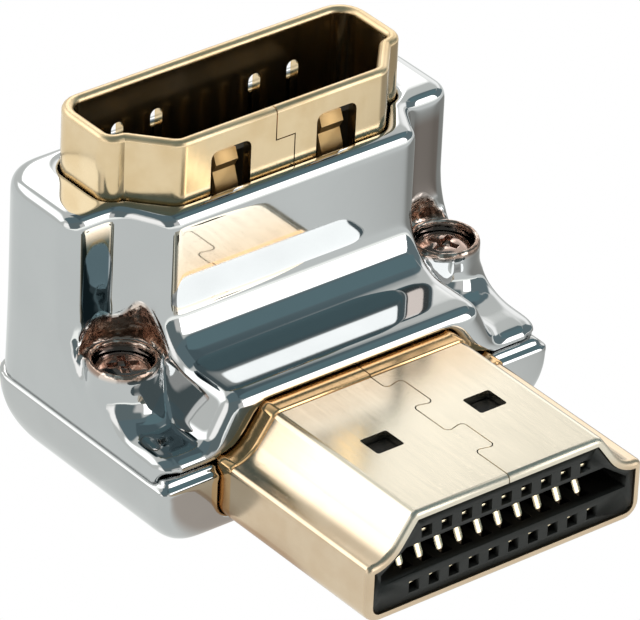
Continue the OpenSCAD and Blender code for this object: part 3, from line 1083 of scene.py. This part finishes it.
@dataclass(frozen=True)
class Plug:
    """The folded plug shell, its insulator and its contacts.

    Attributes:
        contacts: Number of contacts.
        sheet: How the shell is dressed.
        moulding: How the insulator is dressed.
        strip: How the contacts are dressed.
    """

    contacts: int = 19
    sheet: Dressing = Dressing(edge=0.03)
    moulding: Dressing = Dressing(edge=0.0)
    strip: Dressing = Dressing(edge=0.03)

    def build(self, finishes: Finishes) -> list[bpy.types.Object]:
        """Makes the plug's pieces.

        Args:
            finishes: The built finishes.

        Returns:
            The shell, the insulator and the contacts.
        """
        shell = self.sheet.piece("plug_shell", Made.FOLDED, Slot.PLUG_SHEET, finishes.plug_sheet)
        insulator = self.moulding.piece(
            "plug_insulator", Made.MOULDED, Slot.PLUG_MOULDING, finishes.plug_moulding
        )
        contacts = self.strip.contacts(
            "plug_contact", self.contacts, Slot.PLUG_CONTACTS, finishes.plug_contact
        )
        return [shell, insulator, *contacts]


@dataclass(frozen=True)
class Socket:
    """The socket shell, its insulator and its contacts.

    Attributes:
        contacts: Number of contacts.
        sheet: How the shell is dressed.
        moulding: How the insulator is dressed.
        strip: How the contacts are dressed.
    """

    contacts: int = 19
    sheet: Dressing = Dressing(edge=0.04)
    moulding: Dressing = Dressing(edge=0.05)
    strip: Dressing = Dressing(edge=0.02, steps=1)

    def build(self, finishes: Finishes) -> list[bpy.types.Object]:
        """Makes the socket's pieces.

        Args:
            finishes: The built finishes.

        Returns:
            The shell, the insulator and the contacts.
        """
        shell = self.sheet.piece(
            "socket_shell", Made.FOLDED, Slot.SOCKET_SHEET, finishes.socket_sheet
        )
        insulator = self.moulding.piece(
            "socket_insulator", Made.MOULDED, Slot.SOCKET_MOULDING, finishes.socket_moulding
        )
        contacts = self.strip.contacts(
            "socket_contact", self.contacts, Slot.SOCKET_CONTACTS, finishes.socket_contact
        )
        return [shell, insulator, *contacts]


@dataclass(frozen=True)
class Board:
    """The circuit board held between the castings.

    Attributes:
        laminate: How the board is dressed.
    """

    laminate: Dressing = Dressing(edge=0.03, steps=1)

    def build(self, finishes: Finishes) -> list[bpy.types.Object]:
        """Makes the board."""
        slot = Slot.BOARD_LAMINATE
        return [self.laminate.piece("circuit_board", Made.MASKED, slot, finishes.board)]


@dataclass(frozen=True)
class Panel:
    """A soft rectangular light or dark screen of the studio, seen in one direction.

    Attributes:
        azimuth: Degrees from the front to its middle, positive towards +X.
        elevation: Degrees from the horizon to its middle.
        half_width: Half of its width, in degrees.
        half_height: Half of its height, in degrees.
        colour: Its colour, above 1 where it is brighter than white.
        softness: Half of the width of its soft edge, in degrees.
        turn: Degrees that it is turned in its own plane.
    """

    azimuth: float
    elevation: float
    half_width: float
    half_height: float
    colour: Colour
    softness: float = 3.0
    turn: float = 0.0


@dataclass(frozen=True)
class FloorShade:
    """A soft oval of painted shadow on the floor, which bright metal sees.

    Attributes:
        centre: Its middle.
        reach: Its half sizes.
        tone: Tone of its painted shadow.
    """

    centre: tuple[float, float, float]
    reach: tuple[float, float, float]
    tone: Colour


@dataclass(frozen=True)
class Studio:
    """Floor, surroundings and camera.

    Attributes:
        camera_azimuth: Degrees from the front, positive towards +X.
        camera_elevation: Degrees above the horizon.
        camera_roll: Degrees that the camera is turned about its view.
        aim: The place that the camera looks at.
        distance: How far the camera is from it.
        lens: Focal length.
        sensor: Width of the sensor.
        far: End of the camera's view, in metres.
        floor_colour: Colour of the floor as it lights the object.
        floor_roughness: Roughness of the floor.
        far_painted_reflection: Tone of the floor far in front as bright metal sees it, a painted
            reflection of the bright light in front.
        near_tone: Tone of the floor elsewhere.
        far_y: Y from which and to which the two meet.
        shades: Ovals of painted shadow that bright metal sees darker.
        shade_edge: Where an oval's edge starts and ends, as a share of its reach.
        room: Colour of the surroundings between the screens.
    """

    camera_azimuth: float = -39.63
    camera_elevation: float = 31.72
    camera_roll: float = 2.71
    aim: tuple[float, float, float] = (-0.59, 0.72, 7.29)
    distance: float = 289.2
    lens: float = 410.03
    sensor: float = 36.0
    far: float = 10.0
    floor_colour: Colour = (0.85, 0.85, 0.85)
    floor_roughness: float = 0.9
    # painted reflection of the bright light in front, on the far floor
    far_painted_reflection: Colour = (1.65, 1.65, 1.58)
    near_tone: Colour = (0.93, 0.95, 0.93)
    far_y: Range = (-75.0, -35.0)
    shades: tuple[FloorShade, ...] = (
        # painted shadows: the object's on the right, and the plug's under it, warm with painted
        # light off its gold
        FloorShade((30.0, 1.0, 0.0), (19.0, 18.0, 1.0), (0.36, 0.36, 0.34)),  # on the right
        FloorShade((-5.5, -3.0, 0.0), (3.3, 3.5, 1.0), (0.60, 0.53, 0.47)),  # under the plug
    )
    shade_edge: Range = (0.6, 1.15)
    room: Colour = (0.85, 0.86, 0.83)

    def camera(self) -> bpy.types.Object:
        """Makes the camera at the photograph's viewing angle.

        Returns:
            The camera, which the scene uses.
        """
        data = bpy.data.cameras.new("camera")
        data.lens = self.lens
        data.sensor_width = self.sensor
        data.clip_end = self.far
        eye = bpy.data.objects.new("camera", data)
        back = direction(self.camera_azimuth, self.camera_elevation)
        right, up = square_axes(back, self.camera_roll)
        turned = Matrix((right, up, back)).transposed()
        place = (Vector(self.aim) + back * self.distance) * MM
        eye.matrix_world = Matrix.Translation(place) @ turned.to_4x4()
        bpy.context.scene.collection.objects.link(eye)
        bpy.context.scene.camera = eye
        return eye

    def floor(self) -> bpy.types.Object:
        """Makes the pale floor, which shows white to the camera, and to bright metal a tone with a
        painted reflection far in front and painted shadows.

        Returns:
            The floor.
        """
        work = bmesh.new()
        bmesh.ops.create_grid(work, x_segments=1, y_segments=1, size=1.0)
        mesh = bpy.data.meshes.new("floor")
        work.to_mesh(mesh)
        work.free()
        plane = bpy.data.objects.new("floor", mesh)
        bpy.context.scene.collection.objects.link(plane)
        material, g, shader = new_material("pale_floor")
        g.feed(shader.inputs["Base Color"], self.floor_colour)
        shader.inputs["Roughness"].default_value = self.floor_roughness
        path = g.add("ShaderNodeLightPath").outputs
        glow = g.add("ShaderNodeEmission", Strength=1.0)
        g.feed(glow.inputs["Color"], g.mixed(path["Is Camera Ray"], self.floor_tone(g), WHITE))
        seen = g.maths("MAXIMUM", path["Is Camera Ray"], path["Is Glossy Ray"])
        seen = g.maths("MAXIMUM", seen, path["Is Transmission Ray"])
        both = g.add("ShaderNodeMixShader", in0=seen, in1=shader.outputs[0], in2=glow.outputs[0])
        g.feed(material.node_tree.nodes["Material Output"].inputs["Surface"], both.outputs[0])
        mesh.materials.append(material)
        return plane

    def floor_tone(self, g: Graph) -> bpy.types.NodeSocket:
        """Builds the floor as bright metal sees it, with a painted reflection and painted shadows.

        Args:
            g: Graph of the floor's material.

        Returns:
            The tone, brighter far in front and shaded in the ovals.
        """
        place = g.place()
        # painted reflection far in front, then painted shadows in the ovals
        tone = g.mixed(g.ramp(g.parts(place)[1], *self.far_y), self.far_painted_reflection, self.near_tone)
        for shade in self.shades:
            away = g.vector("SUBTRACT", place, shade.centre).outputs[0]
            away = g.vector("DIVIDE", away, shade.reach).outputs[0]
            length = g.vector("LENGTH", away).outputs["Value"]
            tone = g.mixed(g.ramp(length, *self.shade_edge), shade.tone, tone)
        return tone

    @staticmethod
    def panels() -> list[Panel]:
        """The screens, of which a later one covers an earlier one."""
        return [
            Panel(71, 14, 27, 25, (0.20, 0.26, 0.28), 2.3, 6),  # dark, on the right
            Panel(-77, 18, 20, 16, (1.70, 1.65, 1.60), 6),  # bright, on the left
            Panel(-145, 34, 26, 14, (2.20, 2.20, 2.15), 5, -8),  # bright, left and behind
            Panel(-29, 38, 37, 40, (0.19, 0.24, 0.25), 6.5, 10),  # dark and broad, in front
            Panel(9, 80, 46, 29, (0.17, 0.24, 0.265), 4, -23),  # dark, overhead
            Panel(94, 67, 29, 10, (0.11, 0.16, 0.18), 2, -9),  # darker, high on the right
            Panel(57, 49, 14, 13, (0.17, 0.27, 0.30), 2.4, -24),  # dark, right and in front
            Panel(121, 20, 24, 10, (1.57, 1.55, 1.52), 5, -14),  # bright, right and behind
            Panel(149, 32, 11, 4, (3.60, 3.50, 3.40), 2.8, 42),  # very bright strip, behind
            Panel(11, 15, 12, 13, (0.90, 0.88, 0.85), 5, 5),  # pale, low in front
            Panel(32.5, 3, 10.2, 31, (3.40, 3.35, 3.30), 0.8, -1),  # very bright, in front
        ]

    def surroundings(self) -> bpy.types.World:
        """Makes the world: a grey room with soft screens, and white where the camera sees it.

        Returns:
            The world, which the scene uses.
        """
        world = bpy.data.worlds.new("studio")
        bpy.context.scene.world = world
        world.use_nodes = True
        g = Graph(world.node_tree)
        background = world.node_tree.nodes["Background"]
        towards = g.add("ShaderNodeTexCoord").outputs["Generated"]
        colour: object = self.room
        screen = self.screen_group()
        for panel in self.panels():
            centre = direction(panel.azimuth, panel.elevation)
            right, up = square_axes(centre, panel.turn)
            mask = g.group(
                screen,
                Towards=towards, Centre=tuple(centre), Right=tuple(right), Up=tuple(up),
                Half_Width=math.tan(math.radians(panel.half_width)),
                Half_Height=math.tan(math.radians(panel.half_height)),
                Softness=math.tan(math.radians(panel.softness)),
            )
            colour = g.mixed(mask.outputs["Mask"], colour, panel.colour)
        camera_ray = g.add("ShaderNodeLightPath").outputs["Is Camera Ray"]
        g.feed(background.inputs["Color"], g.mixed(camera_ray, colour, WHITE))
        background.inputs["Strength"].default_value = 1.0
        return world

    @staticmethod
    def screen_group() -> bpy.types.NodeTree:
        """Builds the group that masks one soft rectangle of the surroundings.

        Returns:
            A group that puts out the mask for its centre, axes and half sizes.
        """
        tree, g, ins, outs = new_group(
            "soft_screen",
            {
                "Towards": (VECTOR, None), "Centre": (VECTOR, None), "Right": (VECTOR, None),
                "Up": (VECTOR, None), "Half Width": (FLOAT, 0.3), "Half Height": (FLOAT, 0.2),
                "Softness": (FLOAT, 0.05),
            },
            {"Mask": FLOAT},
        )
        given = ins.outputs
        least, full = 0.05, 0.15  # cosines towards the centre: no mask up to the first
        ahead = g.vector("DOT_PRODUCT", given["Towards"], given["Centre"]).outputs["Value"]
        scale = g.maths("MAXIMUM", ahead, least)
        mask = g.ramp(ahead, least, full)
        for axis, half in (("Right", "Half Width"), ("Up", "Half Height")):
            across = g.vector("DOT_PRODUCT", given["Towards"], given[axis]).outputs["Value"]
            across = g.maths("ABSOLUTE", g.maths("DIVIDE", across, scale))
            inner = g.maths("SUBTRACT", given[half], given["Softness"])
            outer = g.total(given[half], given["Softness"])
            mask = g.product(mask, g.ramp(across, inner, outer, 1.0, 0.0))
        g.feed(outs.inputs["Mask"], mask)
        return tree

    def build(self) -> None:
        """Sets the whole studio up."""
        self.camera()
        self.floor()
        self.surroundings()
        bpy.context.scene.view_settings.view_transform = "Standard"


def main() -> None:
    """Builds the adapter and its studio."""
    logging.basicConfig(level=logging.INFO, format="%(name)s: %(message)s")
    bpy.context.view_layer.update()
    Studio().build()
    finishes = Finishes(Effects())
    for assembly in (Housing(), Plug(), Socket(), Board()):
        for piece in assembly.build(finishes):
            LOG.info("%s: %d faces", piece.name, len(piece.data.polygons))


if __name__ == "__main__":
    main()
